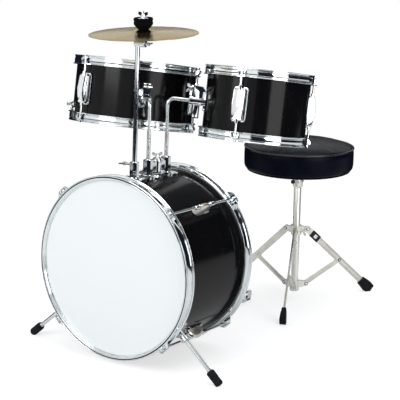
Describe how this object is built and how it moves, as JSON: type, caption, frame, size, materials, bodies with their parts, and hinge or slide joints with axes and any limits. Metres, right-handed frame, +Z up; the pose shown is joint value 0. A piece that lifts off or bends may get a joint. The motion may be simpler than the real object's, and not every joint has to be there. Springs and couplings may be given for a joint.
{
  "type": "acoustic drum kit",
  "caption": "Compact acoustic drum kit: bass drum with pedal carrying a snare, a tom and a tilting cymbal on rods, and a folding tripod throne.",
  "frame": {"origin": "the floor under the centre of the kit and throne footprint", "axes": "+Z up; the bass drum faces -Y and the player sits on the throne towards +Y"},
  "size_m": [0.6388, 0.9246, 0.8312],
  "materials": {
    "black_wrap": "gloss wrap",
    "chrome": "polished",
    "zinc_steel": "zinc plated",
    "coated_head": "coated film",
    "clear_head": "smooth film",
    "cymbal_brass": "lathed",
    "black_felt": "felt",
    "black_rubber": "matte",
    "seat_vinyl": "grained vinyl over foam"
  },
  "bodies": {
    "bass_drum": {"bass_shell": "black_wrap", "bass_front_head": "coated_head", "bass_back_head": "coated_head", "bass_front_hoop": "chrome", "bass_back_hoop": "chrome", "bass_lug_1": "chrome", "bass_lug_2": "chrome", "bass_lug_3": "chrome", "bass_lug_4": "chrome", "cymbal_socket": "chrome", "tom_receiver": "chrome", "spur_bracket_left": "chrome", "spur_bracket_right": "chrome", "pedal_frame": "chrome"},
    "spur_left": {"spur_left": "chrome", "spur_foot_left": "black_rubber"},
    "spur_right": {"spur_right": "chrome", "spur_foot_right": "black_rubber"},
    "snare_arm": {"snare_l_rod": "chrome"},
    "snare_drum": {"snare_shell": "black_wrap", "snare_top_head": "coated_head", "snare_bottom_head": "clear_head", "snare_top_hoop": "chrome", "snare_bottom_hoop": "chrome", "snare_lug_1": "chrome", "snare_lug_2": "chrome", "snare_lug_3": "chrome", "snare_bracket": "chrome", "snare_wires": "zinc_steel"},
    "snare_throw_off": {"snare_lever": "chrome"},
    "tom_arm": {"tom_l_rod": "chrome"},
    "tom_drum": {"tom_shell": "black_wrap", "tom_top_head": "coated_head", "tom_bottom_head": "clear_head", "tom_top_hoop": "chrome", "tom_bottom_hoop": "chrome", "tom_lug_1": "chrome", "tom_lug_2": "chrome", "tom_lug_3": "chrome", "tom_bracket": "chrome"},
    "cymbal_stand": {"cymbal_post": "chrome"},
    "cymbal_head": {"cymbal_tilter": "chrome", "cymbal_felt": "black_felt"},
    "cymbal_plate": {"cymbal": "cymbal_brass"},
    "cymbal_nut": {"cymbal_wing_nut": "chrome"},
    "beater": {"pedal_beater": "chrome"},
    "footboard": {"pedal_footboard": "zinc_steel"},
    "throne_base": {"throne_tube": "chrome"},
    "throne_slider": {"throne_hub": "chrome"},
    "throne_leg_1": {"throne_leg_1": "zinc_steel", "throne_foot_1": "black_rubber"},
    "throne_leg_2": {"throne_leg_2": "zinc_steel", "throne_foot_2": "black_rubber"},
    "throne_leg_3": {"throne_leg_3": "zinc_steel", "throne_foot_3": "black_rubber"},
    "throne_brace_1": {"throne_brace_1": "zinc_steel"},
    "throne_brace_2": {"throne_brace_2": "zinc_steel"},
    "throne_brace_3": {"throne_brace_3": "zinc_steel"},
    "throne_seat": {"seat_post": "chrome", "seat_cushion": "seat_vinyl"}
  },
  "joints": [
    {"name": "spur_left_slide", "type": "slide", "parent": "bass_drum", "child": "spur_left", "axis": [-0.7581, -0.029, -0.6515], "range_m": [-0.06, 0]},
    {"name": "spur_right_slide", "type": "slide", "parent": "bass_drum", "child": "spur_right", "axis": [0.7581, -0.029, -0.6515], "range_m": [-0.06, 0]},
    {"name": "snare_arm_swivel", "type": "hinge", "parent": "bass_drum", "child": "snare_arm", "pos_m": [0.02285, -0.29339, 0.47902], "axis": [0, 0.0445, 0.999], "range_deg": [-2, 30]},
    {"name": "snare_tilt", "type": "hinge", "parent": "snare_arm", "child": "snare_drum", "pos_m": [-0.15549, -0.12005, 0.58881], "axis": [-0.7246, 0.6793, -0.1161], "range_deg": [-12, 12]},
    {"name": "snare_throw_off", "type": "hinge", "parent": "snare_drum", "child": "snare_throw_off", "pos_m": [-0.23318, -0.26638, 0.57983], "axis": [0.4781, 0.8657, -0.148], "range_deg": [0, 90]},
    {"name": "tom_arm_swivel", "type": "hinge", "parent": "bass_drum", "child": "tom_arm", "pos_m": [0.02285, -0.22146, 0.47581], "axis": [0, 0.0445, 0.999], "range_deg": [-30, 2]},
    {"name": "tom_tilt", "type": "hinge", "parent": "tom_arm", "child": "tom_drum", "pos_m": [0.18198, -0.06613, 0.58868], "axis": [0.7246, 0.6793, -0.1161], "range_deg": [-12, 12]},
    {"name": "cymbal_post_slide", "type": "slide", "parent": "bass_drum", "child": "cymbal_stand", "axis": [0, 0.0445, 0.999], "range_m": [0, 0.02]},
    {"name": "cymbal_tilt", "type": "hinge", "parent": "cymbal_stand", "child": "cymbal_head", "pos_m": [0.02285, -0.33419, 0.75411], "axis": [1, 0, 0], "range_deg": [-10, 10]},
    {"name": "cymbal_spin", "type": "hinge", "parent": "cymbal_head", "child": "cymbal_plate", "pos_m": [0.04085, -0.33576, 0.78406], "axis": [0, -0.0523, 0.9986], "continuous": true},
    {"name": "wing_nut_spin", "type": "hinge", "parent": "cymbal_head", "child": "cymbal_nut", "pos_m": [0.04085, -0.33733, 0.81402], "axis": [0, -0.0523, 0.9986], "continuous": true},
    {"name": "beater_swing", "type": "hinge", "parent": "bass_drum", "child": "beater", "pos_m": [0.01085, -0.12938, 0.14], "axis": [1, 0, 0], "range_deg": [0, 52.5]},
    {"name": "footboard_press", "type": "hinge", "parent": "bass_drum", "child": "footboard", "pos_m": [0.01085, 0.16562, 0.021], "axis": [1, 0, 0], "range_deg": [0, 4.2]},
    {"name": "throne_place", "type": "slide", "parent": "bass_drum", "child": "throne_base", "axis": [0, 1, 0], "range_m": [0, 0.25]},
    {"name": "throne_fold", "type": "slide", "parent": "throne_base", "child": "throne_slider", "axis": [0, 0, 1], "range_m": [0, 0.10071]},
    {"name": "throne_leg_1_fold", "type": "hinge", "parent": "throne_slider", "child": "throne_leg_1", "pos_m": [0.1329, 0.23131, 0.199], "axis": [0.9184, 0.3955, 0], "range_deg": [0, 38.47]},
    {"name": "throne_brace_1_fold", "type": "hinge", "parent": "throne_base", "child": "throne_brace_1", "pos_m": [0.1329, 0.23131, 0.04], "axis": [0.9184, 0.3955, 0], "range_deg": [-50.2, 0]},
    {"name": "throne_leg_2_fold", "type": "hinge", "parent": "throne_slider", "child": "throne_leg_2", "pos_m": [0.13957, 0.28808, 0.199], "axis": [-0.8018, 0.5976, 0], "range_deg": [0, 38.47]},
    {"name": "throne_brace_2_fold", "type": "hinge", "parent": "throne_base", "child": "throne_brace_2", "pos_m": [0.13957, 0.28808, 0.04], "axis": [-0.8018, 0.5976, 0], "range_deg": [-50.2, 0]},
    {"name": "throne_leg_3_fold", "type": "hinge", "parent": "throne_slider", "child": "throne_leg_3", "pos_m": [0.08707, 0.26547, 0.199], "axis": [-0.1167, -0.9932, 0], "range_deg": [0, 38.47]},
    {"name": "throne_brace_3_fold", "type": "hinge", "parent": "throne_base", "child": "throne_brace_3", "pos_m": [0.08707, 0.26547, 0.04], "axis": [-0.1167, -0.9932, 0], "range_deg": [-50.2, 0]},
    {"name": "seat_height", "type": "slide", "parent": "throne_base", "child": "throne_seat", "axis": [0, 0, 1], "range_m": [0, 0.055]}
  ],
  "couplings": [
    {"joint": "footboard_press", "follows": "beater_swing", "ratio": 0.0783},
    {"joint": "throne_leg_1_fold", "follows": "throne_fold", "rad_per_m": 6.6577},
    {"joint": "throne_brace_1_fold", "follows": "throne_fold", "rad_per_m": -8.6898},
    {"joint": "throne_leg_2_fold", "follows": "throne_fold", "rad_per_m": 6.6577},
    {"joint": "throne_brace_2_fold", "follows": "throne_fold", "rad_per_m": -8.6898},
    {"joint": "throne_leg_3_fold", "follows": "throne_fold", "rad_per_m": 6.6577},
    {"joint": "throne_brace_3_fold", "follows": "throne_fold", "rad_per_m": -8.6898}
  ]
}
